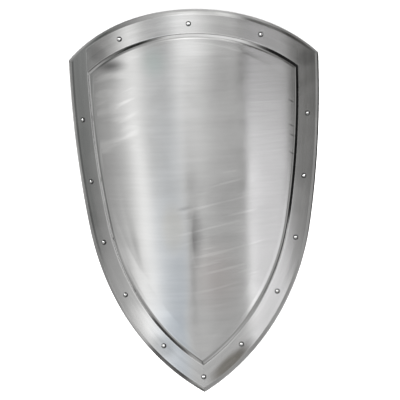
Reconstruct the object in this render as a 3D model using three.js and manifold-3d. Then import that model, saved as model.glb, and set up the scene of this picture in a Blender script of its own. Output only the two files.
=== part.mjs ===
// Steel heater shield: one bent plate with a raised field, three border strips and fourteen rivets.
// Millimetres. X is the width, +Y points to the top edge, +Z is up. The shield lies on its rim, face up.
// The sheet is laid out flat first: p runs across, q runs up, h stands off the face.
// It is then rolled about one straight axis along its length: see bend().
import * as THREE from "three";
import { mergeVertices } from "three/addons/utils/BufferGeometryUtils.js";
import Module from "manifold-3d";

// Outline of the folded edge, flat, with the top corners at q = 0
const CORNER_P = 228.8;
const TOP_RISE = 87.3;
const TIP_DROP = 594.4;
const SIDE_R = 1555;
const SIDE_TURN = 0.0063;
const SIDE_RUN = 302;
// Roll of the sheet
const BEND_R = 456;
// Sheet and strip thickness
const PLATE_T = 1.6;
const STRIP_T = 1.2;
const GAP = 0.3;
// Border, measured inward from the folded edge
const LIP_W = 8.4;
const LIP_DROP = 2.6;
const STRIP_W = 34.3;
const STRIP_CLEAR = 0.6;
const FOOT_U = STRIP_W + STRIP_CLEAR;
const STEP_W = 6.3;
const FIELD_H = 4.2;
// Flat land along the middle of the field
const LAND_HALF = 20;
const FIELD_RINGS = [0.84, 0.68, 0.52, 0.36, 0.2];
// Rivets
const SHANK_R = 2.0;
const HOLE_R = SHANK_R + GAP;
const DRILL_LENGTH = 24;
const HEAD_R = 4.6;
const HEAD_H = 2.3;
const TAIL_R = 3.3;
const TAIL_H = 1.3;
const RIVET_SIDES = 14;
const HOLE_SIDES = 12;
// Where the rivets sit along the middle line of the strips, from the crown or from the top corner
const TOP_RIVETS = [-131.5, 0, 131.5];
const SIDE_RIVETS = [103, 208.5, 316, 425, 539.5];
// Number of straight pieces each arc is cut into
const TOP_PIECES = 28;
const UPPER_PIECES = 10;
const LOWER_PIECES = 14;

const STEEL = { color: 0xb4b7b8, metalness: 1.0, roughness: 0.32 };

// Two points where circles cross; the one farther to the right is kept.
function crossing(a, ra, b, rb) {
  const dx = b[0] - a[0];
  const dy = b[1] - a[1];
  const d = Math.hypot(dx, dy);
  const along = (ra * ra - rb * rb + d * d) / (2 * d);
  const off = Math.sqrt(Math.max(ra * ra - along * along, 0));
  const ex = dx / d;
  const ey = dy / d;
  const one = [a[0] + along * ex - off * ey, a[1] + along * ey + off * ex];
  const two = [a[0] + along * ex + off * ey, a[1] + along * ey - off * ex];
  return one[0] > two[0] ? one : two;
}

// Centres and radii of the three arcs: top, upper side and lower side.
function arcs() {
  const topR = (CORNER_P ** 2 + TOP_RISE ** 2) / (2 * TOP_RISE);
  const top = { c: [0, TOP_RISE - topR], r: topR };
  const a0 = -SIDE_TURN;
  const upperC = [CORNER_P - SIDE_R * Math.cos(a0), SIDE_R * Math.sin(a0)];
  const a1 = a0 + SIDE_RUN / SIDE_R;
  const join = [upperC[0] + SIDE_R * Math.cos(a1), upperC[1] - SIDE_R * Math.sin(a1)];
  const n = [-Math.cos(a1), Math.sin(a1)];
  const v = [join[0], join[1] + TIP_DROP];
  const lowR = -(v[0] ** 2 + v[1] ** 2) / (2 * (v[0] * n[0] + v[1] * n[1]));
  const lowC = [join[0] + lowR * n[0], join[1] + lowR * n[1]];
  return { top, upper: { c: upperC, r: SIDE_R }, lower: { c: lowC, r: lowR }, a1 };
}

const ARC = arcs();

function spread(from, to, pieces) {
  const out = [];
  for (let i = 0; i <= pieces; i += 1) {
    out.push(from + ((to - from) * i) / pieces);
  }
  return out;
}

// Right half of the side line at inward distance u, from a start point on it down to the line p = stop.
function sideLine(u, start, stop) {
  const rU = ARC.upper.r - u;
  const rL = ARC.lower.r - u;
  const from = Math.atan2(ARC.upper.c[1] - start[1], start[0] - ARC.upper.c[0]);
  const end = Math.acos((stop - ARC.lower.c[0]) / rL);
  const points = [];
  for (const t of spread(from, ARC.a1, UPPER_PIECES)) {
    points.push([ARC.upper.c[0] + rU * Math.cos(t), ARC.upper.c[1] - rU * Math.sin(t)]);
  }
  for (const t of spread(ARC.a1, end, LOWER_PIECES).slice(1)) {
    points.push([ARC.lower.c[0] + rL * Math.cos(t), ARC.lower.c[1] - rL * Math.sin(t)]);
  }
  return points;
}

// Right half of the top line at inward distance u, from the crown to where the side line at v crosses it.
function topLine(u, v) {
  const r = ARC.top.r - u;
  const end = crossing(ARC.top.c, r, ARC.upper.c, ARC.upper.r - v);
  const turn = Math.atan2(end[0], end[1] - ARC.top.c[1]);
  return spread(0, turn, TOP_PIECES / 2).map((t) => [r * Math.sin(t), ARC.top.c[1] + r * Math.cos(t)]);
}

// Closed loop at inward distance u: crown, right corner, tip, left corner and back.
function loop(u) {
  const top = topLine(u, u);
  const right = top.concat(sideLine(u, top[top.length - 1], 0).slice(1));
  right[right.length - 1][0] = 0;
  const left = right.slice(1, -1).reverse().map(([p, q]) => [-p, q]);
  return right.concat(left);
}

function bend(p, q, h) {
  const t = p / BEND_R;
  return [(BEND_R + h) * Math.sin(t), q, (BEND_R + h) * Math.cos(t) - BEND_R];
}

// Offset of an open line of (u, h) points by t to its lower side, with mitred corners.
function offsetLine(line, t) {
  const normal = (a, b) => {
    const d = Math.hypot(b[0] - a[0], b[1] - a[1]);
    return [(b[1] - a[1]) / d, -(b[0] - a[0]) / d];
  };
  return line.map((point, i) => {
    const before = normal(line[Math.max(i - 1, 0)], line[Math.max(i, 1)]);
    const last = line.length - 1;
    const after = normal(line[Math.min(i, last - 1)], line[Math.min(i + 1, last)]);
    const sum = [before[0] + after[0], before[1] + after[1]];
    const scale = (2 * t) / (sum[0] ** 2 + sum[1] ** 2);
    return [point[0] + sum[0] * scale, point[1] + sum[1] * scale];
  });
}

// Small mesh builder: points met twice are shared, flat slivers with repeated corners are dropped.
function builder() {
  const keys = new Map();
  const points = [];
  const faces = [];
  const add = (xyz) => {
    const key = xyz.map((c) => Math.round(c * 1e5)).join(",");
    if (!keys.has(key)) {
      keys.set(key, points.length);
      points.push(xyz);
    }
    return keys.get(key);
  };
  const face = (a, b, c) => {
    if (a !== b && b !== c && a !== c) {
      faces.push([a, b, c]);
    }
  };
  const quad = (a, b, c, d) => {
    face(a, b, c);
    face(a, c, d);
  };
  return { add, face, quad, points, faces };
}

function toSolid(wasm, mesh) {
  const solid = new wasm.Manifold(new wasm.Mesh({
    numProp: 3,
    vertProperties: new Float32Array(mesh.points.flat()),
    triVerts: new Uint32Array(mesh.faces.flat()),
  }));
  return solid;
}

function toGeometry(solid) {
  const mesh = solid.getMesh();
  const raw = new THREE.BufferGeometry();
  raw.setAttribute("position", new THREE.BufferAttribute(new Float32Array(mesh.vertProperties), 3));
  raw.setIndex(new THREE.BufferAttribute(new Uint32Array(mesh.triVerts), 1));
  return mergeVertices(raw, 1e-4);
}

// The plate: loops of the folded lip, the margin, the step and the field, on the face and on the back.
function plateMesh() {
  const face = [[-LIP_W, -LIP_DROP], [0, 0], [FOOT_U / 2, 0], [FOOT_U, 0], [FOOT_U + STEP_W, FIELD_H],
    [FOOT_U + 2 * STEP_W, FIELD_H]];
  const back = offsetLine(face, PLATE_T);
  const mesh = builder();
  const rings = (line) => {
    const out = line.slice(0, 5).map(([u, h]) => loop(u).map(([p, q]) => mesh.add(bend(p, q, h))));
    const [u, h] = line[4];
    const crest = loop(u);
    for (const k of FIELD_RINGS) {
      out.push(crest.map(([p, q]) => {
        const width = Math.min(Math.abs(p), Math.max(LAND_HALF, Math.abs(p) * k));
        return mesh.add(bend(Math.sign(p) * width, q, h));
      }));
    }
    out.push(crest.map(([p, q]) => {
      const width = Math.min(Math.abs(p), LAND_HALF);
      return mesh.add(bend(Math.sign(p) * width, q, h));
    }));
    return out;
  };
  const skin = (loops, up) => {
    const n = loops[0].length;
    const quad = (a, b, c, d) => (up ? mesh.quad(a, b, c, d) : mesh.quad(d, c, b, a));
    for (let k = 0; k + 1 < loops.length; k += 1) {
      for (let i = 0; i < n; i += 1) {
        const j = (i + 1) % n;
        quad(loops[k][j], loops[k][i], loops[k + 1][i], loops[k + 1][j]);
      }
    }
    const land = loops[loops.length - 1];
    for (let i = 0; i < n / 2; i += 1) {
      quad(land[i + 1], land[i], land[(n - i) % n], land[n - i - 1]);
    }
  };
  const above = rings(face);
  const below = rings(back);
  skin(above, true);
  skin(below, false);
  const n = above[0].length;
  for (let i = 0; i < n; i += 1) {
    const j = (i + 1) % n;
    mesh.quad(above[0][i], above[0][j], below[0][j], below[0][i]);
  }
  return mesh;
}

// A strip: stations along its length, each with an outer, a middle and an inner point in (p, q).
function stripMesh(stations) {
  const mesh = builder();
  const low = stations.map((s) => s.map(([p, q]) => mesh.add(bend(p, q, GAP))));
  const high = stations.map((s) => s.map(([p, q]) => mesh.add(bend(p, q, GAP + STRIP_T))));
  for (let i = 0; i + 1 < stations.length; i += 1) {
    for (let k = 0; k < 2; k += 1) {
      mesh.quad(high[i][k], high[i][k + 1], high[i + 1][k + 1], high[i + 1][k]);
      mesh.quad(low[i][k], low[i + 1][k], low[i + 1][k + 1], low[i][k + 1]);
    }
    mesh.quad(high[i][0], high[i + 1][0], low[i + 1][0], low[i][0]);
    mesh.quad(high[i][2], low[i][2], low[i + 1][2], high[i + 1][2]);
  }
  const last = stations.length - 1;
  for (let k = 0; k < 2; k += 1) {
    mesh.quad(high[0][k], low[0][k], low[0][k + 1], high[0][k + 1]);
    mesh.quad(high[last][k], high[last][k + 1], low[last][k + 1], low[last][k]);
  }
  return mesh;
}

const LINES = [0, STRIP_W / 2, STRIP_W];

// The side strip runs from the top edge to the middle of the tip.
function sideStations() {
  const lines = LINES.map((u) => {
    const top = topLine(0, u);
    return sideLine(u, top[top.length - 1], GAP / 2);
  });
  return lines[0].map((_, i) => lines.map((line) => line[i]));
}

// The top strip stops a gap short of the side strips.
function topStations() {
  const lines = LINES.map((u) => {
    const half = topLine(u, STRIP_W + GAP);
    return half.slice(1).reverse().map(([p, q]) => [-p, q]).concat(half);
  });
  return lines[0].map((_, i) => lines.map((line) => line[i]));
}

const mirror = (stations) => stations.map((s) => s.map(([p, q]) => [-p, q])).reverse();

// Seat of a rivet: point and outward direction on the middle line of a strip, at length s along it.
function seatAt(stations, s) {
  const ends = stations.map((st) => st[1]);
  let left = s;
  for (let i = 0; i + 1 < ends.length; i += 1) {
    const size = Math.hypot(ends[i + 1][0] - ends[i][0], ends[i + 1][1] - ends[i][1]);
    if (left <= size || i + 2 === ends.length) {
      const t = Math.min(Math.max(left / size, 0.25), 0.75);
      const a = new THREE.Vector3(...bend(...ends[i], 0));
      const b = new THREE.Vector3(...bend(...ends[i + 1], 0));
      const at = a.lerp(b, t);
      const out = new THREE.Vector3(at.x, 0, at.z + BEND_R).normalize();
      return { at, out };
    }
    left -= size;
  }
  return null;
}

function lengthOf(stations) {
  let total = 0;
  for (let i = 0; i + 1 < stations.length; i += 1) {
    const a = stations[i][1];
    const b = stations[i + 1][1];
    total += Math.hypot(b[0] - a[0], b[1] - a[1]);
  }
  return total;
}

function rivetSeats(top, side) {
  const seats = [];
  const half = lengthOf(top) / 2;
  for (const s of TOP_RIVETS) {
    seats.push(seatAt(top, half + s));
  }
  seats[1].at.x = 0;
  seats[1].out.set(0, 0, 1);
  const corner = topLine(STRIP_W / 2, STRIP_W / 2);
  const skipped = Math.hypot(
    corner[corner.length - 1][0] - side[0][1][0],
    corner[corner.length - 1][1] - side[0][1][1],
  );
  for (const s of SIDE_RIVETS) {
    const right = seatAt(side, s + skipped);
    seats.push(right);
    seats.push({
      at: new THREE.Vector3(-right.at.x, right.at.y, right.at.z),
      out: new THREE.Vector3(-right.out.x, right.out.y, right.out.z),
    });
  }
  const tip = side[side.length - 1][1];
  seats.push({ at: new THREE.Vector3(0, tip[1], 0), out: new THREE.Vector3(0, 0, 1) });
  return seats;
}

// Round head, shank and hammered tail in one turned profile, standing on the strip top at z = 0.
function rivetGeometry() {
  const tailTop = -(STRIP_T + GAP + PLATE_T + GAP + 0.15);
  const headFoot = GAP;
  const profile = [
    [0, tailTop - TAIL_H],
    [TAIL_R * 0.7, tailTop - TAIL_H * 0.85],
    [TAIL_R, tailTop - TAIL_H * 0.3],
    [TAIL_R, tailTop],
    [SHANK_R, tailTop],
    [SHANK_R, headFoot],
    [HEAD_R, headFoot],
    [HEAD_R * 0.9, headFoot + HEAD_H * 0.45],
    [HEAD_R * 0.62, headFoot + HEAD_H * 0.8],
    [0, headFoot + HEAD_H],
  ];
  const turned = new THREE.LatheGeometry(profile.map(([r, z]) => new THREE.Vector2(r, z)), RIVET_SIDES);
  turned.rotateX(Math.PI / 2);
  turned.deleteAttribute("normal");
  turned.deleteAttribute("uv");
  return mergeVertices(turned, 1e-4);
}

// Volume centre of closed geometries, by tetrahedra from the origin.
function centreOf(geometries) {
  let volume = 0;
  const sum = new THREE.Vector3();
  for (const geometry of geometries) {
    const pos = geometry.getAttribute("position");
    const index = geometry.getIndex();
    for (let i = 0; i < index.count; i += 3) {
      const a = new THREE.Vector3().fromBufferAttribute(pos, index.getX(i));
      const b = new THREE.Vector3().fromBufferAttribute(pos, index.getX(i + 1));
      const c = new THREE.Vector3().fromBufferAttribute(pos, index.getX(i + 2));
      const v = a.dot(b.clone().cross(c)) / 6;
      volume += v;
      sum.addScaledVector(a.add(b).add(c), v / 4);
    }
  }
  return sum.divideScalar(volume);
}

// Turn about X at which the shield lies still: two neighbouring rim points are level and carry its weight.
function restingTurn(geometry, centre) {
  const pos = geometry.getAttribute("position");
  const points = [];
  for (let i = 0; i < pos.count; i += 1) {
    points.push([pos.getY(i), pos.getZ(i)]);
  }
  points.sort((a, b) => a[0] - b[0] || a[1] - b[1]);
  const chain = [];
  for (const p of points) {
    while (chain.length > 1) {
      const [a, b] = chain.slice(-2);
      if ((b[0] - a[0]) * (p[1] - a[1]) - (b[1] - a[1]) * (p[0] - a[0]) > 0) {
        break;
      }
      chain.pop();
    }
    chain.push(p);
  }
  for (let i = 0; i + 1 < chain.length; i += 1) {
    const [a, b] = [chain[i], chain[i + 1]];
    const turn = -Math.atan2(b[1] - a[1], b[0] - a[0]);
    const level = (y, z) => y * Math.cos(turn) - z * Math.sin(turn);
    const at = level(centre.y, centre.z);
    if (at >= level(a[0], a[1]) && at < level(b[0], b[1])) {
      return turn;
    }
  }
  return 0;
}

export async function shield() {
  const wasm = await Module();
  wasm.setup();
  const top = topStations();
  const side = sideStations();
  const seats = rivetSeats(top, side);
  const holes = seats.map(({ at, out }) => {
    const pin = new THREE.CylinderGeometry(HOLE_R, HOLE_R, DRILL_LENGTH, HOLE_SIDES);
    pin.rotateX(Math.PI / 2);
    pin.deleteAttribute("normal");
    pin.deleteAttribute("uv");
    const merged = mergeVertices(pin, 1e-4);
    merged.applyQuaternion(new THREE.Quaternion().setFromUnitVectors(new THREE.Vector3(0, 0, 1), out));
    merged.translate(at.x, at.y, at.z);
    return new wasm.Manifold(new wasm.Mesh({
      numProp: 3,
      vertProperties: new Float32Array(merged.getAttribute("position").array),
      triVerts: new Uint32Array(merged.getIndex().array),
    }));
  });
  const drilled = (mesh) => toGeometry(holes.reduce((solid, hole) => solid.subtract(hole), toSolid(wasm, mesh)));
  const pieces = {
    plate: drilled(plateMesh()),
    strip_top: drilled(stripMesh(top)),
    strip_right: drilled(stripMesh(side)),
    strip_left: drilled(stripMesh(mirror(side))),
  };
  seats.forEach(({ at, out }, i) => {
    const rivet = rivetGeometry();
    rivet.translate(0, 0, GAP + STRIP_T);
    rivet.applyQuaternion(new THREE.Quaternion().setFromUnitVectors(new THREE.Vector3(0, 0, 1), out));
    rivet.translate(at.x, at.y, at.z);
    pieces[`rivet_${String(i + 1).padStart(2, "0")}`] = rivet;
  });
  const all = Object.values(pieces);
  const turn = restingTurn(pieces.plate, centreOf(all));
  const box = new THREE.Box3();
  for (const geometry of all) {
    geometry.rotateX(turn);
    geometry.computeBoundingBox();
    box.union(geometry.boundingBox);
  }
  const group = new THREE.Group();
  group.name = "heater_shield";
  for (const [name, geometry] of Object.entries(pieces)) {
    geometry.translate(0, -(box.min.y + box.max.y) / 2, -box.min.z);
    const mesh = new THREE.Mesh(geometry, new THREE.MeshStandardMaterial(STEEL));
    mesh.name = name;
    group.add(mesh);
  }
  return group;
}

export default await shield();
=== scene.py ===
# %% [markdown]
# # A steel heater shield
#
# A heater shield is a plate shaped like the bottom of a clothes iron: a curved top edge, long
# sides and a point. This one is a single sheet of steel, rolled about its length, with a field
# raised out of it, three border strips riveted round the field and a thin edge turned back.
# The packed solids give each piece its place. Here they get their finer shapes and finishes.

# %% Setup
import math
import bpy
import numpy as np
from mathutils import Matrix, Vector


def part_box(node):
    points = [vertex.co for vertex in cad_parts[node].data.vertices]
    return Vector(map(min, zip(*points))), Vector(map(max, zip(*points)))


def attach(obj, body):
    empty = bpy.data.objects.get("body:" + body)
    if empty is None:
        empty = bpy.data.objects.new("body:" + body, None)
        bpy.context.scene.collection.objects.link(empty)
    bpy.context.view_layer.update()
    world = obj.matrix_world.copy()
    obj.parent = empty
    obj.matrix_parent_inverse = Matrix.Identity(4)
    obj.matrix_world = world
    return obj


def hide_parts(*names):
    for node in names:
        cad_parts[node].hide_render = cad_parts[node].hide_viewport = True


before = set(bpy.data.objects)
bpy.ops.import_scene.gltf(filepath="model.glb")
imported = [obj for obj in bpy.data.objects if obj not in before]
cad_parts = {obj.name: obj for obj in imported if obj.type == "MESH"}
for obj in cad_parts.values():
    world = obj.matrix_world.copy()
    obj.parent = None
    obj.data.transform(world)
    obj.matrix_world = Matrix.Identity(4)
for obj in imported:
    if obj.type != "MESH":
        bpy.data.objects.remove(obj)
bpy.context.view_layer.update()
MM = 0.001
print("solids:", sorted(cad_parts))

# %% [markdown]
# ## The outline
#
# A smith lays a heater shield out flat with a compass: one arc for the top edge, and on each side
# a long flat arc that runs into a tighter one down to the point. Any line that runs parallel to
# the edge, such as the foot of the raised field, is made of the same arcs with smaller radii.
# The outline could be drawn as a Bezier curve, but arcs keep every parallel line exact.

# %% Arcs of the flat outline
CORNER = 228.8
TOP_RISE = 87.3
TIP_DROP = 594.4
UPPER_R = 1555.0
UPPER_TURN = 0.0063
UPPER_RUN = 302.0

TOP_R = (CORNER ** 2 + TOP_RISE ** 2) / (2 * TOP_RISE)
TOP_C = np.array([0.0, TOP_RISE - TOP_R])
UPPER_C = np.array([CORNER - UPPER_R * math.cos(UPPER_TURN), -UPPER_R * math.sin(UPPER_TURN)])
JOIN_ANGLE = UPPER_RUN / UPPER_R - UPPER_TURN
JOIN_DIR = np.array([math.cos(JOIN_ANGLE), -math.sin(JOIN_ANGLE)])
JOIN = UPPER_C + UPPER_R * JOIN_DIR
TO_JOIN = JOIN + np.array([0.0, TIP_DROP])
LOWER_R = (TO_JOIN @ TO_JOIN) / (2 * (TO_JOIN @ JOIN_DIR))
LOWER_C = JOIN - LOWER_R * JOIN_DIR
print("arc radii, mm:", round(TOP_R), round(UPPER_R), round(LOWER_R))


def crossing(u, v):
    """Corner where the top arc moved in by u meets the upper side arc moved in by v: the right
    hand point that lies on both circles."""
    a, b = TOP_R - u, UPPER_R - v
    gap = UPPER_C - TOP_C
    d = np.hypot(*gap)
    along = (a * a - b * b + d * d) / (2 * d)
    off = math.sqrt(a * a - along * along)
    ex, ey = gap / d
    one = TOP_C + np.array([along * ex - off * ey, along * ey + off * ex])
    two = TOP_C + np.array([along * ex + off * ey, along * ey - off * ex])
    return one if one[0] > two[0] else two


def top_half(u, v, n):
    """Top line moved in by u, from the middle to the corner: equal turns round the arc's centre."""
    end = crossing(u, v)
    t = np.linspace(0, math.atan2(end[0], end[1] - TOP_C[1]), n + 1)
    return np.c_[(TOP_R - u) * np.sin(t), TOP_C[1] + (TOP_R - u) * np.cos(t)]


def side_line(u, start, stop, n_upper, n_lower):
    """Right side line moved in by u, from start down to the line p = stop: equal turns round the
    upper arc's centre, then round the lower arc's."""
    a, b = UPPER_R - u, LOWER_R - u
    t = np.linspace(math.atan2(UPPER_C[1] - start[1], start[0] - UPPER_C[0]), JOIN_ANGLE, n_upper + 1)
    s = np.linspace(JOIN_ANGLE, math.acos((stop - LOWER_C[0]) / b), n_lower + 1)[1:]
    upper = UPPER_C + a * np.c_[np.cos(t), -np.sin(t)]
    lower = LOWER_C + b * np.c_[np.cos(s), -np.sin(s)]
    return np.r_[upper, lower]

# %% [markdown]
# ## Rolling the sheet
#
# The flat sheet is rolled about one straight axis along its length, so p, the way across, turns
# into an angle, q stays a length, and h is the height off the sheet. Lying face up, the shield
# rocks on its two long sides until its weight is above the part of the rim that touches, so the
# rolled shape is leant by that small angle and lifted until the rim is on the floor.

# %% Roll and rest
BEND_R = 456.0
LEAN = 0.0645807
SHIFT_Y = 253.584
SHIFT_Z = 70.941


def rolled(p, q, h):
    """Point of the rolled sheet in metres: angle = p / radius, x = (radius + h) sin(angle),
    z = (radius + h) cos(angle) - radius, then a turn by the lean about X and the shift."""
    t = p / BEND_R
    x = (BEND_R + h) * np.sin(t)
    z = (BEND_R + h) * np.cos(t) - BEND_R
    y = q * math.cos(LEAN) - z * math.sin(LEAN) + SHIFT_Y
    z = q * math.sin(LEAN) + z * math.cos(LEAN) + SHIFT_Z
    return np.stack([x, y, z], -1) * MM


def outward(p):
    """Direction off the sheet at p: (sin, 0, cos) of the roll angle, leant about X."""
    t = p / BEND_R
    c = np.cos(t)
    return np.stack([np.sin(t), -c * math.sin(LEAN), c * math.cos(LEAN)], -1)


print("middle of the sheet's corner line, mm:", rolled(0.0, 0.0, 0.0) / MM)

# %% [markdown]
# ## A helper for meshes
#
# Every new piece is a grid of points worked out as whole arrays. The helper takes the points, the
# quads, the triangles and a map coordinate for each corner of each face. The map's U runs across
# the brushing and its V along it, in metres, so the finish can follow the way each piece was
# brushed.

# %% Mesh helper
SHARP = math.radians(40)


def make_piece(name, points, faces, maps, slots=None):
    """Mesh object from arrays: faces is a list of (k, m) index arrays, maps has the (k, m, 2)
    coordinates of their corners, slots the material number of each face."""
    mesh = bpy.data.meshes.new(name)
    loops = np.concatenate([f.reshape(-1) for f in faces]).astype(np.int32)
    sizes = np.concatenate([np.full(len(f), f.shape[1]) for f in faces]).astype(np.int32)
    mesh.vertices.add(len(points))
    mesh.vertices.foreach_set("co", points.astype(np.float32).reshape(-1))
    mesh.loops.add(len(loops))
    mesh.loops.foreach_set("vertex_index", loops)
    mesh.polygons.add(len(sizes))
    mesh.polygons.foreach_set("loop_start", np.r_[0, np.cumsum(sizes)[:-1]].astype(np.int32))
    mesh.polygons.foreach_set("loop_total", sizes)
    mesh.polygons.foreach_set("use_smooth", np.ones(len(sizes), bool))
    if slots is not None:
        mesh.polygons.foreach_set("material_index", slots.astype(np.int32))
    layer = mesh.uv_layers.new(name="brushing")
    flat = np.concatenate([m.reshape(-1, 2) for m in maps]).astype(np.float32)
    layer.data.foreach_set("uv", flat.reshape(-1))
    mesh.update(calc_edges=True)
    mesh.validate()
    mesh.set_sharp_from_angle(angle=SHARP)
    obj = bpy.data.objects.new(name, mesh)
    bpy.context.scene.collection.objects.link(obj)
    return obj


print("edges sharper than this stay sharp, degrees:", round(math.degrees(SHARP)))

# %% [markdown]
# ## Helpers for sections
#
# The plate and the strips are both a section carried along lines. A section is drawn as a broken
# line first, as on a drawing. Its corners are rounded afterwards, each with its own radius, and
# points are added close to each round, so that smooth shading doesn't spread over the flats. A
# Bevel modifier could round the edges too, but here every radius stays a value of the section.

# %% Section helpers
def rounded(points, radii, n=5):
    """Broken line with its corners rounded: each corner becomes an arc that touches both sides,
    drawn with n steps. A corner with radius 0 stays sharp."""
    points = np.asarray(points, float)
    out = [points[:1]]
    for a, b, c, r in zip(points, points[1:], points[2:], radii):
        back, on = (a - b) / np.hypot(*(a - b)), (c - b) / np.hypot(*(c - b))
        half = math.acos(np.clip(back @ on, -1, 1)) / 2
        if r == 0:
            out.append(b[None])
            continue
        middle = back + on
        centre = b + middle / np.hypot(*middle) * r / math.sin(half)
        start = b + back * r / math.tan(half) - centre
        end = b + on * r / math.tan(half) - centre
        t = np.linspace(0, 1, n + 1)[:, None]
        turn = math.pi - 2 * half
        arc = np.sin((1 - t) * turn) * start + np.sin(t * turn) * end
        out.append(centre + arc / math.sin(turn))
    out.append(points[-1:])
    return np.concatenate(out)


def supported(section, close=0.35, longest=6.0):
    """The same section with a point close to both ends of each long side, so that the shading of
    a rounded corner stays at the corner, and with no side longer than longest."""
    out = [section[0]]
    for a, b in zip(section, section[1:]):
        size = np.hypot(*(b - a))
        if size > 3 * close:
            inner = np.linspace(close, size - close, max(2, int(size // longest) + 2))
            out.extend(a + (b - a) * (d / size) for d in inner)
        out.append(b)
    return np.array(out)


def offset_line(line, t):
    """The same broken line moved t to its lower side, with mitred corners."""
    line = np.asarray(line, float)
    step = np.diff(line, axis=0)
    normal = np.c_[step[:, 1], -step[:, 0]] / np.hypot(*step.T)[:, None]
    first = np.r_[normal[:1], normal]
    second = np.r_[normal, normal[-1:]]
    total = first + second
    return line + total * (2 * t / (total ** 2).sum(1))[:, None]


def along(line):
    """Length along a line of points, from its first point."""
    return np.r_[0, np.cumsum(np.hypot(*np.diff(line, axis=0).T))]


def grid_quads(index, flip=False):
    """Quads between neighbouring rows and columns of an index table."""
    a, b, c, d = index[:-1, :-1], index[:-1, 1:], index[1:, 1:], index[1:, :-1]
    quads = np.stack([a, b, c, d], -1).reshape(-1, 4)
    return quads[:, ::-1] if flip else quads


def cell_corners(table):
    """Map coordinates of the four corners of each cell, in the order of grid_quads."""
    cells = [table[:-1, :-1], table[:-1, 1:], table[1:, 1:], table[1:, :-1]]
    return np.stack(cells, -2).reshape(-1, 4, 2)


print("points on one rounded corner:", len(rounded([(0, 1), (0, 0), (1, 0)], [0.2])) - 2)

# %% [markdown]
# ## The plate
#
# The plate is one sheet 1.6 mm thick. Its section runs from the field down a short sloped
# shoulder to the flat margin under the strips, bends back in a narrow lip at the edge, and comes
# home along the back. These are its sizes in millimetres, and the radii of its bends.

# %% Sizes of the border
PLATE_T = 1.6
STRIP_T = 1.2
GAP = 0.3
LIP_W = 8.4
LIP_DROP = 2.6
STRIP_W = 34.3
FOOT = STRIP_W + 0.6
STEP_W = 6.3
FIELD_H = 4.2
FIELD_START = FOOT + STEP_W + 8.0
LIP_MIDDLE = (-4.4, -0.95)
FIELD_BEND, FOOT_BEND, RIM_BEND, LIP_BEND = 9.0, 1.6, 6.0, 8.0
EDGE_ROUND = 0.75
N_TOP, N_UPPER, N_LOWER = 74, 66, 96
N_FACE, N_BACK = 150, 40
print("border width, mm:", LIP_W + FOOT + STEP_W)

# %% [markdown]
# Hand work leaves the sheet a little wavy, and polished steel shows every wave, so slow swells a
# few tenths of a millimetre high are added to the field. Low on the left there is also a shallow
# crease along the border. Both are plain functions of the place on the flat sheet, so they can be
# added to any grid. A noise texture as displacement would do too, but the export drops it.

# %% Waves and crease of the field
def swell(p, q):
    """Slow waves of the field in mm: a few sines of long, unequal wavelengths."""
    wave = 0.16 * np.sin(p / 47 + q / 160 + 0.6) * np.cos(q / 83 + 0.4)
    wave += 0.10 * np.sin(q / 61 - p / 95 + 2.1)
    wave += 0.05 * np.sin(p / 19 + q / 240) * np.cos(q / 37 + p / 120)
    return wave


CREASE_SLOPE = 0.016
CREASE_WIDTH = 21
CREASE_BACK = 45
CREASE_TOP, CREASE_END = -230, -450


def crease(p, q):
    """Shallow crease in mm, low on the left side, where the sheet was dressed against the step.
    The height falls evenly from the step to a line that drifts away from it, and comes back
    slowly beyond that line."""
    a = np.stack([np.abs(p), q], -1)
    below = np.cross(JOIN_DIR, a - UPPER_C) < 0
    inside = np.where(below, LOWER_R - np.hypot(*np.moveaxis(a - LOWER_C, -1, 0)),
                      UPPER_R - np.hypot(*np.moveaxis(a - UPPER_C, -1, 0))) - FIELD_START
    width = np.clip((CREASE_TOP + 5 - q) / 8, 0.5, CREASE_WIDTH)
    depth = np.where(inside < width, inside, width * np.exp(-(inside - width) / CREASE_BACK))
    strong = np.clip((CREASE_TOP - q) / 50, 0, 1) * np.clip((q - CREASE_END) / 50, 0, 1)
    left = np.clip((-p - 10) / 40, 0, 1)
    return -CREASE_SLOPE * np.maximum(depth, 0) * strong * left


print("swell at the middle, mm:", round(float(swell(0.0, -250.0)), 2))

# %% [markdown]
# The section is carried round the whole outline as closed loops, with every corner rounded as a
# press or a stake leaves it. The field's face and back are then filled with level rows between
# the two sides. Four material slots keep the field, the lip, the back and the slope apart, as
# each of them was finished in its own way.

# %% Plate
FIELD, LIP, BACK, SLOPE = range(4)
LIP_UNDER_STRIP = 1.0
SLOPE_BEFORE, SLOPE_SHORT = 0.4, 1.2
ROW_U = 0.3
FADE = 25


def border_loop(u):
    """Closed line parallel to the edge at u: crown, right corner, tip, left corner and back."""
    top = top_half(u, u, N_TOP)
    right = np.r_[top, side_line(u, top[-1], 0.0, N_UPPER, N_LOWER)[1:]]
    right[-1, 0] = 0
    left = right[1:-1][::-1] * np.array([-1, 1])
    return np.r_[right, left]


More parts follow.
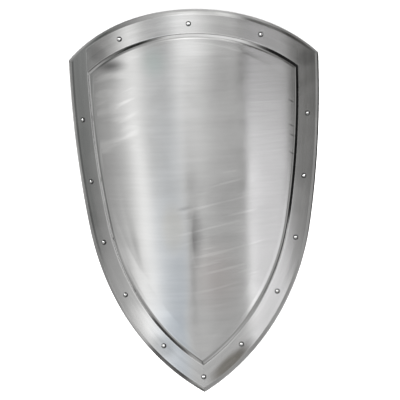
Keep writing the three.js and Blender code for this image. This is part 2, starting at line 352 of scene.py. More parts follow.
def make_plate():
    """The section's points (u, h) give one loop each; the first and last loop are the edges of the
    field's face and back, which are filled with level rows."""
    face = [(FIELD_START, FIELD_H), (FOOT + STEP_W, FIELD_H), (FOOT, 0), (0, 0), LIP_MIDDLE,
            (-LIP_W, -LIP_DROP)]
    back = offset_line(face, -PLATE_T)[::-1]
    bends = [FIELD_BEND, FOOT_BEND, RIM_BEND, LIP_BEND, EDGE_ROUND, EDGE_ROUND,
             LIP_BEND - PLATE_T, RIM_BEND - PLATE_T, FOOT_BEND + PLATE_T, FIELD_BEND - PLATE_T]
    section = rounded([*face, *back], bends)
    section = supported(section)
    loops = np.array([border_loop(u) for u, _ in section])
    n = loops.shape[1]
    half = n // 2
    heights = np.repeat(section[:, 1:], n, 1)
    points = [rolled(loops[..., 0], loops[..., 1], heights).reshape(-1, 3)]
    index = np.arange(len(section) * n).reshape(len(section), n)
    ring = np.c_[index, index[:, :1]]
    quads = grid_quads(ring)
    length = np.c_[[along(np.r_[loop, loop[:1]]) for loop in loops]]
    across = np.repeat(section[:, :1] + ROW_U * np.arange(len(section))[:, None], n + 1, 1)
    table = np.stack([across, length], -1) * MM
    faces, maps = [quads], [cell_corners(table)]
    lip = np.repeat(section[1:, 0] < LIP_UNDER_STRIP, n)
    under = np.repeat(np.arange(1, len(section)) > len(section) // 2, n)
    middle = (section[1:, 0] + section[:-1, 0]) / 2
    slope = np.repeat((middle > FOOT - SLOPE_BEFORE) & (middle < FOOT + STEP_W - SLOPE_SHORT), n)
    slots = [np.select([lip, under, slope], [LIP, BACK, SLOPE], FIELD)]
    count = len(points[0])
    fills = ((0, FIELD_H, True, FIELD, N_FACE), (-1, section[-1, 1], False, BACK, N_BACK))
    for row, height, flip, slot, columns in fills:
        right = index[row, :half + 1]
        left = np.r_[index[row, 0], index[row, half:][::-1]]
        share = np.linspace(-1, 1, columns + 1)[1:-1]
        edge = loops[row][:half + 1]
        p = edge[1:-1, :1] * share
        q = np.repeat(edge[1:-1, 1:], len(share), 1)
        fade = np.clip((1 - np.abs(share)) * np.abs(edge[1:-1, :1]) / FADE, 0, 1) ** 2
        fade = fade * np.clip(np.minimum(edge[0, 1] - q, q - edge[-1, 1]) / FADE, 0, 1)
        points.append(rolled(p, q, height + swell(p, q) * fade + crease(p, q)).reshape(-1, 3))
        inner = count + np.arange(p.size).reshape(p.shape)
        count += p.size
        table = np.c_[left[1:-1], inner, right[1:-1]]
        flat_p = np.c_[-edge[1:-1, :1], p, edge[1:-1, :1]]
        flat = np.stack([np.repeat(edge[1:-1, 1:], flat_p.shape[1], 1), flat_p], -1) * MM
        quads = grid_quads(table, flip)
        corner = cell_corners(flat)
        faces.append(quads)
        maps.append(corner[:, ::-1] if flip else corner)
        slots.append(np.full(len(quads), slot))
        for tip, line, turned in ((right[0], 0, flip), (right[-1], -1, not flip)):
            tips = np.full(table.shape[1] - 1, tip)
            fan = np.stack([tips, table[line, 1:], table[line, :-1]], -1)
            spot = np.broadcast_to(edge[line][::-1] * MM, (len(fan), 2))
            corner = np.stack([spot, flat[line, 1:], flat[line, :-1]], -2)
            faces.append(fan[:, ::-1] if turned else fan)
            maps.append(corner[:, ::-1] if turned else corner)
            slots.append(np.full(len(fan), slot))
    return make_piece("shield_plate", np.concatenate(points), faces, maps, np.concatenate(slots))


plate = make_plate()
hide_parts("plate")
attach(plate, "root")
print("plate faces:", len(plate.data.polygons))

# %% [markdown]
# ## The border strips
#
# Three strips of thinner steel cover the margin. The side strips run from the top edge to the
# point, and the top strip is cut to fit between them, as the joints in the corners show. Each one
# is a flat bar with softened edges, carried along the same parallel lines as the plate.

# %% Strips
JOINT = 0.12
INNER_TOP, INNER_FOOT, OUTER_FOOT, OUTER_TOP = 0.12, 0.1, 0.2, 0.6


def make_strip(name, line_at, node):
    """A closed section (u, h) carried along open lines: line_at(u) gives the line at inward
    distance u. Both ends are closed with one flat face."""
    low, high = GAP, GAP + STRIP_T
    start = (STRIP_W / 2, high)
    box = [start, (STRIP_W, high), (STRIP_W, low), (0, low), (0, high), start]
    rounds = [INNER_TOP, INNER_FOOT, OUTER_FOOT, OUTER_TOP]
    section = supported(rounded(box, rounds, 4), longest=12.0)[:-1]
    lines = np.array([line_at(u) for u, _ in section])
    m, n = lines.shape[:2]
    points = rolled(lines[..., 0], lines[..., 1], np.repeat(section[:, 1:], n, 1)).reshape(-1, 3)
    index = np.arange(m * n).reshape(m, n)
    ring = np.r_[index, index[:1]]
    length = np.c_[[along(line) for line in lines]]
    table = np.stack([np.repeat(section[:, :1], n, 1), length], -1) * MM
    table = np.r_[table, table[:1]]
    ends = [index[:, 0][None, ::-1], index[:, -1][None]]
    end_maps = [table[:-1, 0][None, ::-1], table[:-1, -1][None]]
    faces = [grid_quads(ring), *ends]
    maps = [cell_corners(table), *end_maps]
    obj = make_piece(name, points, faces, maps)
    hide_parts(node)
    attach(obj, "root")
    return obj


def right_line(u):
    """Right side line that starts on the top edge and stops half a joint short of the middle."""
    return side_line(u, crossing(0, u), JOINT / 2, N_UPPER, N_LOWER)


def left_line(u):
    """The right side line mirrored, and read from the tip upwards."""
    return right_line(u)[::-1] * np.array([-1, 1])


def top_line(u):
    """Top line from left to right between the two side strips."""
    half = top_half(u, STRIP_W + JOINT, N_TOP)
    return np.r_[half[1:][::-1] * np.array([-1, 1]), half]


strips = [
    make_strip("border_strip_top", top_line, "strip_top"),
    make_strip("border_strip_right", right_line, "strip_right"),
    make_strip("border_strip_left", left_line, "strip_left"),
]
print("strip faces:", [len(s.data.polygons) for s in strips])

# %% [markdown]
# ## The rivets
#
# Fourteen round-head rivets hold the strips. A rivet is a turned shape, so its section is swept
# round its own axis: a low dome in front, and behind the plate the tail that the hammer spread.
# Each one stands where its solid is and points straight off the rolled sheet.

# %% Rivets
HEAD_R = 4.6
HEAD_H = 2.2
TAIL_R = 3.3
TAIL_H = 1.3
SHANK_R = 2.0
HEAD_BRIM, TAIL_BRIM = 0.35, 0.3
HEAD_ROUND = 0.15
TAIL_GAP = 0.15
N_AROUND, N_DOME = 40, 9


def rivet_section():
    """(radius, height) from the tail's middle to the head's: an ellipse quarter for each end."""
    seat = GAP + STRIP_T + GAP
    tail = -(PLATE_T + GAP + TAIL_GAP)
    t = np.linspace(0, math.pi / 2, N_DOME)
    dome = np.c_[HEAD_R * np.cos(t), seat + HEAD_BRIM + (HEAD_H - HEAD_BRIM) * np.sin(t)]
    knob = np.c_[TAIL_R * np.sin(t), tail - TAIL_BRIM - (TAIL_H - TAIL_BRIM) * np.cos(t)]
    shank = [(TAIL_R, tail), (SHANK_R, tail), (SHANK_R, seat), (HEAD_R - HEAD_ROUND, seat)]
    return np.r_[knob, shank, dome]


def make_rivet(name, node):
    """The section turned round an axis: x = r cos, y = r sin, then set on the sheet's own
    directions at the middle of the solid's box."""
    low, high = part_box(node)
    middle = np.array((low + high) / 2) / MM
    section = rivet_section()
    centre_h = (section[0, 1] + section[-1, 1]) / 2
    angle = math.asin(middle[0] / (BEND_R + centre_h))
    z = (BEND_R + centre_h) * math.cos(angle) - BEND_R
    q = (middle[1] - SHIFT_Y + z * math.sin(LEAN)) / math.cos(LEAN)
    axis = outward(np.array(angle * BEND_R))
    sine = math.sin(angle)
    side = np.array([math.cos(angle), sine * math.sin(LEAN), -sine * math.cos(LEAN)])
    up = np.cross(axis, side)
    foot = rolled(np.array(angle * BEND_R), np.array(q), np.array(0.0))
    t = np.linspace(0, 2 * math.pi, N_AROUND, endpoint=False)
    r = section[1:-1, :1] * MM
    rings = foot + (r * np.cos(t))[..., None] * side + (r * np.sin(t))[..., None] * up
    rings = rings + (section[1:-1, 1] * MM)[:, None, None] * axis
    poles = foot + section[[0, -1], 1][:, None] * MM * axis
    points = np.r_[rings.reshape(-1, 3), poles]
    index = np.arange(r.size * N_AROUND).reshape(r.size, N_AROUND)
    ring = np.c_[index, index[:, :1]]
    bottom = np.stack([np.full(N_AROUND, len(points) - 2), ring[0, 1:], ring[0, :-1]], -1)
    top = np.stack([np.full(N_AROUND, len(points) - 1), ring[-1, :-1], ring[-1, 1:]], -1)
    faces = [grid_quads(ring), bottom, top]
    local = np.c_[(points - foot) @ side, (points - foot) @ up]
    obj = make_piece(name, points, faces, [local[f] for f in faces])
    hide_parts(node)
    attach(obj, "root")
    return obj


rivet_nodes = sorted(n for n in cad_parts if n.startswith("rivet"))
rivets = [make_rivet("round_" + node, node) for node in rivet_nodes]
print("rivets:", len(rivets))

# %% [markdown]
# ## Finishes
#
# Brushed steel is covered with fine parallel scratches. Each scratch is a tiny groove, so light
# spreads across the scratches and hardly along them. The Principled shader has that built in as
# anisotropy, with the direction taken from the map made with each mesh. Over it go the marks of
# hand work, fine lines, clouds of handling, single passes of a grinder and local stains, and
# patches of painted highlight and painted shade. Each is a node group, which all the finishes share.

# %% Node helpers
def feed(tree, slot, value):
    """Links a socket, or sets a plain value."""
    if isinstance(value, bpy.types.NodeSocket):
        tree.links.new(value, slot)
    elif value is not None:
        slot.default_value = value


def math_node(tree, operation, a, b=None):
    """A Math node: a and b are sockets or numbers."""
    node = tree.nodes.new("ShaderNodeMath")
    node.operation = operation
    feed(tree, node.inputs[0], a)
    feed(tree, node.inputs[1], b)
    return node.outputs[0]


def vector_node(tree, operation, a, b=None, scale=None, out="Vector"):
    """A Vector Math node: a and b are sockets or triples."""
    node = tree.nodes.new("ShaderNodeVectorMath")
    node.operation = operation
    feed(tree, node.inputs[0], a)
    feed(tree, node.inputs[1], b)
    if scale is not None:
        feed(tree, node.inputs["Scale"], scale)
    return node.outputs[out]


def soft_edge(tree, value, start, end, low=0.0, high=1.0):
    """Smooth change from low at start to high at end."""
    node = tree.nodes.new("ShaderNodeMapRange")
    node.interpolation_type = "SMOOTHSTEP"
    feed(tree, node.inputs["Value"], value)
    feed(tree, node.inputs["From Min"], start)
    feed(tree, node.inputs["From Max"], end)
    feed(tree, node.inputs["To Min"], low)
    feed(tree, node.inputs["To Max"], high)
    return node.outputs[0]


def noise_node(tree, vector, scale, detail, rough=0.5, distortion=0.0):
    """A Noise Texture node's value."""
    node = tree.nodes.new("ShaderNodeTexNoise")
    feed(tree, node.inputs["Vector"], vector)
    feed(tree, node.inputs["Scale"], scale)
    node.inputs["Detail"].default_value = detail
    node.inputs["Roughness"].default_value = rough
    node.inputs["Distortion"].default_value = distortion
    return node.outputs[0]


def times(tree, a, b):
    """Product of two sockets or numbers."""
    return math_node(tree, "MULTIPLY", a, b)


def parts(tree, vector):
    """X, Y and Z of a vector."""
    node = tree.nodes.new("ShaderNodeSeparateXYZ")
    feed(tree, node.inputs[0], vector)
    return node.outputs


def joined(tree, *values):
    """A vector from its X, Y and Z."""
    node = tree.nodes.new("ShaderNodeCombineXYZ")
    for slot, value in zip(node.inputs, values):
        feed(tree, slot, value)
    return node.outputs[0]


def turned(tree, vector, angle):
    """A vector turned about Z."""
    node = tree.nodes.new("ShaderNodeVectorRotate")
    node.rotation_type = "Z_AXIS"
    feed(tree, node.inputs["Vector"], vector)
    feed(tree, node.inputs["Angle"], angle)
    return node.outputs[0]


def new_group(name, inputs, outputs):
    """A node group with its named sockets: inputs is {name: (kind, value)}, outputs a list of
    float outputs."""
    group = bpy.data.node_groups.new(name, "ShaderNodeTree")
    new = group.interface.new_socket
    for label, (kind, value) in inputs.items():
        made = new(name=label, in_out="INPUT", socket_type="NodeSocket" + kind)
        if value is not None:
            made.default_value = value
    for label in outputs:
        new(name=label, in_out="OUTPUT", socket_type="NodeSocketFloat")
    given = group.nodes.new("NodeGroupInput").outputs
    return group, given, group.nodes.new("NodeGroupOutput").inputs


print("node groups before the first:", len(bpy.data.node_groups))

# %% [markdown]
# The first group draws the brushing itself: noise that changes fast over U and slowly over V, at
# two sizes. The second turns the map by an angle first and keeps only the noise's peaks, which
# leaves separate soft strokes, as single passes of a grinder do.

# %% Groups for lines and strokes
def line_group():
    """Value = noise(0.22 k U, m V) and Fine = noise(k U, m V), for k across and m along."""
    group, given, out = new_group(
        "brush_lines",
        {"Vector": ("Vector", None), "Across": ("Float", 900.0), "Along": ("Float", 12.0),
         "Seed": ("Float", 0.0)}, ["Value", "Fine"])
    u, v = parts(group, given["Vector"])[:2]
    v = times(group, v, given["Along"])
    for label, factor in (("Value", 0.22), ("Fine", 1.0)):
        across = times(group, given["Across"], factor)
        place = joined(group, times(group, u, across), v, given["Seed"])
        feed(group, out[label], noise_node(group, place, 1.0, 3.0, 0.6))
    return group


def stroke_group():
    """Value = smooth step of noise(k U', m V') from Low to High, where U' and V' are the map
    turned by Turn."""
    group, given, out = new_group(
        "grinding_strokes",
        {"Vector": ("Vector", None), "Turn": ("Float", 0.0), "Across": ("Float", 60.0),
         "Along": ("Float", 6.0), "Seed": ("Float", 0.0), "Low": ("Float", 0.5),
         "High": ("Float", 0.7)}, ["Value"])
    u, v = parts(group, turned(group, given["Vector"], given["Turn"]))[:2]
    place = joined(group, times(group, u, given["Across"]), times(group, v, given["Along"]),
                   given["Seed"])
    noise = noise_node(group, place, 1.0, 2.0, 0.5, 0.2)
    feed(group, out["Value"], soft_edge(group, noise, given["Low"], given["High"]))
    return group


LINES, STROKES = line_group(), stroke_group()
print("node groups:", LINES.name, STROKES.name)

# %% [markdown]
# The third group makes the clouds that hands and polish leave. The fourth is a soft patch round a
# point of the object, for stains, ground areas, painted highlights and painted shade, one at a time.
# Painting such marks on an image would be quicker, but a patch keeps its size in millimetres and
# stays sharp at any distance.

# %% Groups for clouds and patches
def cloud_group():
    """Value = stretched noise over the piece's own space, from 0 to 1."""
    group, given, out = new_group(
        "polish_clouds", {"Vector": ("Vector", None), "Per metre": ("Float", 11.0)}, ["Value"])
    noise = noise_node(group, given["Vector"], given["Per metre"], 4.0, 0.5, 0.6)
    feed(group, out["Value"], soft_edge(group, noise, 0.30, 0.70))
    return group


def patch_group():
    """Value = 1 at Centre, falling smoothly to 0 on the ellipse with the half axes of Size,
    turned by Turn about Z."""
    group, given, out = new_group(
        "soft_patch",
        {"Vector": ("Vector", None), "Centre": ("Vector", (0, 0, 0)), "Size": ("Vector", (1, 1, 1)),
         "Turn": ("Float", 0.0), "Core": ("Float", 0.0)}, ["Value"])
    moved = vector_node(group, "SUBTRACT", given["Vector"], given["Centre"])
    sized = vector_node(group, "DIVIDE", turned(group, moved, given["Turn"]), given["Size"])
    far = vector_node(group, "LENGTH", sized, out="Value")
    feed(group, out["Value"], soft_edge(group, far, given["Core"], 1.0, 1.0, 0.0))
    return group


CLOUDS, PATCH = cloud_group(), patch_group()
print("node groups:", CLOUDS.name, PATCH.name)

# %% [markdown]
# The last three follow a piece's own map. The fifth marks both edges of a bar, for painted
# highlights. The sixth marks the foot of a rivet, for painted shade. The seventh draws a line along
# a bar, for painted shade in the gap beside the slope and along the rim.

# %% Groups for edge highlights, foot shade and lines
def edge_highlight_group():
    """Value = 1 at both edges of a bar of the given Width over U, 0 beyond Reach from them."""
    group, given, out = new_group(
        "painted_edge_highlight",
        {"Vector": ("Vector", None), "Width": ("Float", STRIP_W * MM), "Reach": ("Float", 0.001)},
        ["Value"])
    u = parts(group, given["Vector"])[0]
    near = math_node(group, "MINIMUM", u, math_node(group, "SUBTRACT", given["Width"], u))
    feed(group, out["Value"], soft_edge(group, near, 0.0, given["Reach"], 1.0, 0.0))
    return group


def foot_shade_group():
    """Value = 0 within Inner of the map's centre, 1 beyond Outer."""
    group, given, out = new_group(
        "foot_grime",
        {"Vector": ("Vector", None), "Inner": ("Float", 0.002), "Outer": ("Float", 0.004)},
        ["Value"])
    far = vector_node(group, "LENGTH", given["Vector"], out="Value")
    feed(group, out["Value"], soft_edge(group, far, given["Inner"], given["Outer"]))
    return group


def bar_line_group():
    """Value = 1 on the line of a bar where U is Middle, 0 further than Reach from it."""
    group, given, out = new_group(
        "bar_line", {"Vector": ("Vector", None), "Middle": ("Float", STRIP_W * MM),
                     "Reach": ("Float", 0.0004)}, ["Value"])
    off = math_node(group, "SUBTRACT", parts(group, given["Vector"])[0], given["Middle"])
    far = math_node(group, "ABSOLUTE", off)
    feed(group, out["Value"], soft_edge(group, far, 0.0, given["Reach"], 1.0, 0.0))
    return group


EDGE_HIGHLIGHT, FOOT_SHADE, BAR_LINE = edge_highlight_group(), foot_shade_group(), bar_line_group()
print("node groups:", EDGE_HIGHLIGHT.name, FOOT_SHADE.name, BAR_LINE.name)

# %% [markdown]
# One class makes each steel finish from the same groups. The brightness of the metal is its
# tone times one plus small shares of the lines and clouds. Marks are added to that, each with a
# colour of its own: a grey share lightens or darkens, an uneven one tints. Roughness and bump
# take smaller shares. Anisotropy is a plain number on the shader.

# %% Steel finishes
CLOUD_GLOSS = 0.04
GRAIN_DEPTH = 0.0002
PATCH_Z = 0.05


class Steel:
    """One finish: the material, its tree, and the two coordinates that the groups read."""

    def __init__(self, name, tone, rough, spread, lines=0.05, fine=0.03, clouds=0.03, seed=0.0):
        self.mat = bpy.data.materials.new(name)
        self.mat.use_nodes = True
        self.tree = self.mat.node_tree
        self.shader = self.tree.nodes["Principled BSDF"]
        self.shader.inputs["Metallic"].default_value = 1.0
        self.shader.inputs["Anisotropic"].default_value = spread
        self.tone = tone
        self.where = self.tree.nodes.new("ShaderNodeUVMap")
        self.where.uv_map = "brushing"
        self.coords = self.tree.nodes.new("ShaderNodeTexCoord")
        if spread:
            tangent = self.tree.nodes.new("ShaderNodeTangent")
            tangent.direction_type = "UV_MAP"
            tangent.uv_map = "brushing"
            feed(self.tree, self.shader.inputs["Tangent"], tangent.outputs[0])
        drawn = self.group(LINES, Vector=self.where.outputs[0], Seed=seed)
        cloud = self.group(CLOUDS, Vector=self.coords.outputs["Object"])["Value"]
        total = 1.0
        for out, share in ((drawn["Value"], lines), (drawn["Fine"], fine), (cloud, clouds)):
            total = self.plus(total, math_node(self.tree, "SUBTRACT", out, 0.5), 2 * share)
        self.colour = vector_node(self.tree, "SCALE", (1.0, 1.0, 1.0), scale=total)
        self.bumps = drawn["Value"]
        swing = math_node(self.tree, "SUBTRACT", cloud, 0.5)
        self.gloss = self.plus(rough, swing, CLOUD_GLOSS)

    def plus(self, total, value, share):
        """total + share times value, where each is a socket or a number."""
        return math_node(self.tree, "ADD", times(self.tree, value, share), total)

    def group(self, made, **values):
        """Adds one shared group with its own values and returns its outputs."""
        node = self.tree.nodes.new("ShaderNodeGroup")
        node.node_tree = made
        for name, value in values.items():
            feed(self.tree, node.inputs[name.replace("_", " ")], value)
        return node.outputs

    def patch(self, centre, size, turn=0.0, core=0.0):
        """A soft patch, in millimetres of the object's own X and Y."""
        return self.group(PATCH, Vector=self.coords.outputs["Object"], Turn=turn, Core=core,
                          Centre=(centre[0] * MM, centre[1] * MM, PATCH_Z),
                          Size=(size[0] * MM, size[1] * MM, 1.0))["Value"]

    def strokes(self, **values):
        """Grinder strokes over the piece's map."""
        return self.group(STROKES, Vector=self.where.outputs[0], **values)["Value"]

    def mark(self, mask, share, within=None, gloss=0.0, bump=0.0):
        """Adds share, a number or a colour, times the mask to the brightness."""
        if within is not None:
            mask = times(self.tree, mask, within)
        share = (share,) * 3 if isinstance(share, float) else share
        self.colour = vector_node(self.tree, "ADD", self.colour,
                                  vector_node(self.tree, "SCALE", share, scale=mask))
        if gloss:
            self.gloss = self.plus(self.gloss, mask, gloss)
        if bump:
            self.bumps = self.plus(self.bumps, mask, bump)

    def stains_and_painted_light(self, table):
        """Marks from {what it is: (share, centre, size, turn, core)}."""
        for share, *place in table.values():
            self.mark(self.patch(*place), share)

    def done(self, bump=0.07):
        """Links the sums to the shader."""
        scaled = vector_node(self.tree, "SCALE", self.colour, scale=self.tone)
        feed(self.tree, self.shader.inputs["Base Color"], scaled)
        feed(self.tree, self.shader.inputs["Roughness"], self.gloss)
        relief = self.tree.nodes.new("ShaderNodeBump")
        relief.inputs["Strength"].default_value = bump
        relief.inputs["Distance"].default_value = GRAIN_DEPTH
        feed(self.tree, relief.inputs["Height"], self.bumps)
        feed(self.tree, self.shader.inputs["Normal"], relief.outputs[0])
        return self.mat


print("a finish may use:", [name for name in vars(Steel) if name[0] != "_"])

# %% [markdown]
# ### The field
#
# The field was brushed across its width. High on the left the grinder went slantwise and left
# broad strokes, and right of the middle it left thin ones at a flatter angle; the light streaks
# along both sets are painted highlights. Below the middle a painted dark reflection ends in an edge
# that is sharp on its left and fades on its right. A few stains and tints lie between, with a
# painted highlight and painted shade along the crease low on the left, and the last table gives
# four nicks of the tool at the right edge.

# %% Marks of the field
# Local marks of the field: stains and tints, and patches of painted highlight and painted shade.
FIELD_STAINS_AND_PAINTED_LIGHT = {
    "light area, upper left": (0.16, (-165, 160), (60, 110), 0.0, 0.3),
    "dark spot under the top slope": (-0.62, (-144, 251), (38, 17)),
    "hook above the dark edge": (-0.22, (-22, -8), (17, 6), -0.2),
    "warm area right of the dark edge": ((-0.04, -0.08, -0.09), (30, -135), (60, 95)),
    # Painted highlight along the crease low on the left, and painted shade beside it.
    "painted highlight on the crease, lower left": (0.30, (-142, -90), (62, 9), 1.27),
    "shade beside the crease": (-0.15, (-113, -80), (75, 10), 1.42),
    "lighter area, top left": (0.15, (-148, 188), (36, 44), 0.0, 0.2),
    "light pass, top left": (0.30, (-160, 202), (24, 10), -0.25),
    "shorter light pass": (0.15, (-141, 177), (15, 11), -0.4),
    "line down from the dark edge": (-0.06, (-10, -130), (9, 125), 0.0, 0.1),
    "cool tint under the crown": ((-0.10, -0.03, -0.05), (-65, 256), (34, 40)),
    "yellow tint left of the dark edge": ((0.03, 0.0, -0.05), (-44, -45), (30, 60), 0.0, 0.3),
    "spot near the point": (-0.25, (-70, -238), (16, 7), 0.85),
    "brown stain at the point": ((-0.20, -0.26, -0.34), (-34, -278), (34, 10), 0.80),
}
# Painted dark reflection below the middle: sharp on its left, fading on its right.
DARK_REFLECTION_EDGE = ((41, -62), (54, 125), 0.0, 0.88)
DARK_REFLECTION_EDGE_FADE = ((-8, -60), (25, 74))
NICKS = ((174, 134), (175, 116), (173, 84), (175, 178))


def field_finish():
    """Strokes over the field, two local sets with painted highlights, a painted dark reflection, the
    stains.
    """
    s = Steel("brushed_field_steel", 0.72, 0.15, 0.55, lines=0.045, fine=0.045, clouds=0.03)
    wide = s.strokes(Turn=0.03, Across=42.0, Along=4.0, Seed=3.0, Low=0.35, High=0.7)
    s.mark(wide, 0.05, gloss=0.01, bump=0.3)
    # Slant grinder strokes high on the left; their light streaks are painted highlights.
    slant = s.strokes(Turn=0.35, Across=46.0, Along=7.0, Seed=11.0, Low=0.46, High=0.66)
    s.mark(slant, 0.26, within=s.patch((-150, 165), (62, 118), core=0.55))
    # Thin grinder strokes right of the middle, also lightened as painted highlights.
    thin = s.strokes(Turn=0.19, Across=150.0, Along=8.0, Seed=23.0, Low=0.56, High=0.68)
    s.mark(thin, 0.12, within=s.patch((45, -60), (95, 170), core=0.5))
    # The painted dark reflection below the middle.
    s.mark(s.patch(*DARK_REFLECTION_EDGE), -0.36, within=s.patch(*DARK_REFLECTION_EDGE_FADE))
    s.stains_and_painted_light(FIELD_STAINS_AND_PAINTED_LIGHT)
    for place in NICKS:
        s.mark(s.patch(place, (8, 2.4), turn=0.6), -0.40)
    return s.done()


print("marks on the field:", len(FIELD_STAINS_AND_PAINTED_LIGHT) + len(NICKS) + 1)

# %% [markdown]
# ### The lip, the slope and the back
#
# The lip was filed, so it is finer; its lighter and darker stretches are painted highlights and
# painted shade. On the upper right the slope between margin and field has painted shade from its
# foot to a little short of its top, and on the lower left a painted dark reflection. The back was
# never polished. Each has its own slot on the plate, because one material with three masks would be
# harder to read and to change.

# %% Lip, slope and back
# Painted highlights and painted shade along the lip.
LIP_PAINTED_LIGHT = {
    "dark run at the point": (-0.62, (-63, -297), (62, 18), 0.80, 0.5),
    "light run, upper left": (0.22, (-214, 95), (22, 95), 0.0, 0.4),
    "light run, lower left": (0.32, (-124, -226), (52, 18), 1.04, 0.3),
}
# Patches for painted shade: upper right on slope and strip gap, lower left on the slope.
UPPER_RIGHT = ((205, 150), (110, 230), 0.0, 0.75)
LOWER_LEFT_SLOPE = ((-60, -243), (62, 16), 0.80, 0.5)


def lip_finish():
    """A filed edge: finer, with stretches of painted highlight and painted shade."""
    s = Steel("filed_edge_steel", 0.74, 0.17, 0.3, lines=0.08, fine=0.05, clouds=0.10, seed=4.0)
    s.stains_and_painted_light(LIP_PAINTED_LIGHT)
    return s.done()


def slope_finish():
    """The short slope: painted shade on the upper right, a painted dark reflection on the lower left.
    """
    s = Steel("step_steel_with_painted_shade", 0.72, 0.15, 0.3, lines=0.05, fine=0.03, clouds=0.05, seed=7.0)
    # Painted shade on the slope, upper right.
    s.mark(s.patch(*UPPER_RIGHT), -0.80, gloss=0.10)
    # Painted dark reflection on the slope, lower left.
    s.mark(s.patch(*LOWER_LEFT_SLOPE), -0.70)
    return s.done()


def back_finish():
    """The back was never polished: rougher, darker and cloudier."""
    s = Steel("plain_back_steel", 0.50, 0.40, 0.3, lines=0.08, fine=0.05, clouds=0.14, seed=9.0)
    s.mark(s.strokes(Turn=0.5, Across=70.0, Along=9.0, Seed=5.0, Low=0.5, High=0.7), 0.10)
    return s.done(0.3)


for made in (field_finish(), lip_finish(), back_finish(), slope_finish()):
    plate.data.materials.append(made)
print("plate finishes:", [m.name for m in plate.data.materials])

# %% [markdown]
# ### The strips and rivets
#
# The strips were brushed along their length before they were bent round the plate. Their edges
# carry painted highlights, painted shade fills the gap beside the slope on the upper right, and the
# left strip has painted shade along the rim. A rivet's crown keeps its bright tone, while painted
# shade darkens its foot. The painted shade sits a little off the axis, heavier on the lower right.

# %% Strips and rivets
STRIP_STAINS_AND_PAINTED_LIGHT = {
    "dark corner, top right": (-0.30, (204, 254), (24, 22), 0.0, 0.3),
    "dark area, top left": (-0.24, (-168, 273), (24, 20), 0.0, 0.3),
    "light area, lower left": (0.22, (-112, -213), (44, 24), 1.0, 0.3),
    "dull area near the point": (-0.33, (-73, -263), (34, 26), 0.8, 0.3),
    # Painted dark reflection, slightly warm, along the border right of the point, and its fainter
    # end.
    "painted dark reflection right of the point": ((-0.55, -0.57, -0.61), (46, -298), (58, 18), -0.73, 0.3),
    "its fainter end": (-0.28, (78, -266), (34, 12), -0.80, 0.2),
}
LEFT_SIDE = ((-220, 90), (110, 230), 0.0, 0.7)
# Shift of the painted shade at a rivet's foot, so it is heavier on the lower right.
SHADE_SHIFT = (0.0005, -0.0003, 0.0)


def strip_finish():
    """Lines along the bar, painted highlights on the edges, painted shade in the gap and by the rim,
    and the stains.
    """
    s = Steel("brushed_strip_steel", 0.72, 0.17, 0.4, lines=0.05, fine=0.03, clouds=0.05, seed=2.0)
    bar = s.where.outputs[0]
    # Painted highlights along both edges of each strip.
    s.mark(s.group(EDGE_HIGHLIGHT, Vector=bar, Reach=0.0020)["Value"], 0.22, gloss=-0.02)
    s.mark(s.strokes(Across=110.0, Along=5.0, Seed=31.0, Low=0.4, High=0.7), 0.08)
    # Painted shade in the gap between the strip's inner edge and the slope, on the upper right.
    gap_shade = s.group(BAR_LINE, Vector=bar)["Value"]
    s.mark(gap_shade, -0.85, within=s.patch(*UPPER_RIGHT), gloss=0.10)
    # Painted shade along the outer side of the left strip, by the rim.
    rim_shade = s.group(BAR_LINE, Vector=bar, Middle=0.0035, Reach=0.0035)["Value"]
    s.mark(rim_shade, -0.42, within=s.patch(*LEFT_SIDE))
    s.stains_and_painted_light(STRIP_STAINS_AND_PAINTED_LIGHT)
    return s.done()


def rivet_finish():
    """Bright crown, painted shade at the foot."""
    s = Steel("bright_rivet_steel", 0.80, 0.12, 0.0, lines=0.03, fine=0.03, clouds=0.02, seed=6.0)
    # Painted shade round the foot of each rivet, heavier on the lower right.
    beside = vector_node(s.tree, "ADD", s.where.outputs[0], SHADE_SHIFT)
    foot = s.group(FOOT_SHADE, Vector=beside, Inner=0.0019, Outer=0.0036)["Value"]
    s.mark(foot, -0.90, gloss=0.10)
    return s.done(0.1)


strip_steel, rivet_steel = strip_finish(), rivet_finish()
for piece in strips:
    piece.data.materials.append(strip_steel)
for piece in rivets:
    piece.data.materials.append(rivet_steel)
print("other finishes:", strip_steel.name, rivet_steel.name)

# %% [markdown]
# ## Light
#
# Polished metal has hardly a colour of its own: it shows the room. A studio lights it with a few
# large soft panels and leaves dark between them to draw the shape. The room here is the world's
# own shader. It turns each direction into two angles: A runs from overhead towards the right, and
# T runs from level towards the top edge. A panel is a patch of light between four A angles and
# four T angles, with soft edges, and a dark flag is a panel with a negative level.

# %% Room
scene = bpy.context.scene
world = bpy.data.worlds.new("studio_room")
scene.world = world
world.use_nodes = True
room = world.node_tree


def room_angles():
    """A = atan2(x, z) and T = asin(y) of the direction, in degrees."""
    x, y, z = parts(room, room.nodes.new("ShaderNodeTexCoord").outputs["Generated"])
    angles = math_node(room, "ARCTAN2", x, z), math_node(room, "ARCSINE", y)
    return [times(room, angle, 180 / math.pi) for angle in angles]


ANGLE, TILT = room_angles()
SLANT_LOW, SLANT_HIGH, SLANT_ZERO = -30.0, 5.0, 14.0
LEANING = math_node(room, "MINIMUM", math_node(room, "MAXIMUM", TILT, SLANT_LOW), SLANT_HIGH)
LEANING = math_node(room, "ADD", LEANING, SLANT_ZERO)


def panel(a, t=None, slant=0.0):
    """Patch of light: a rise and a fall over A, times a rise and a fall over T. A slant moves the
    A angles by so many degrees for each degree of T."""
    angle = ANGLE
    if slant:
        angle = math_node(room, "SUBTRACT", ANGLE, times(room, LEANING, slant))
    light = times(room, soft_edge(room, angle, a[0], a[1]),
                  soft_edge(room, angle, a[2], a[3], 1.0, 0.0))
    if t:
        light = times(room, light, soft_edge(room, TILT, t[0], t[1]))
        light = times(room, light, soft_edge(room, TILT, t[2], t[3], 1.0, 0.0))
    return light


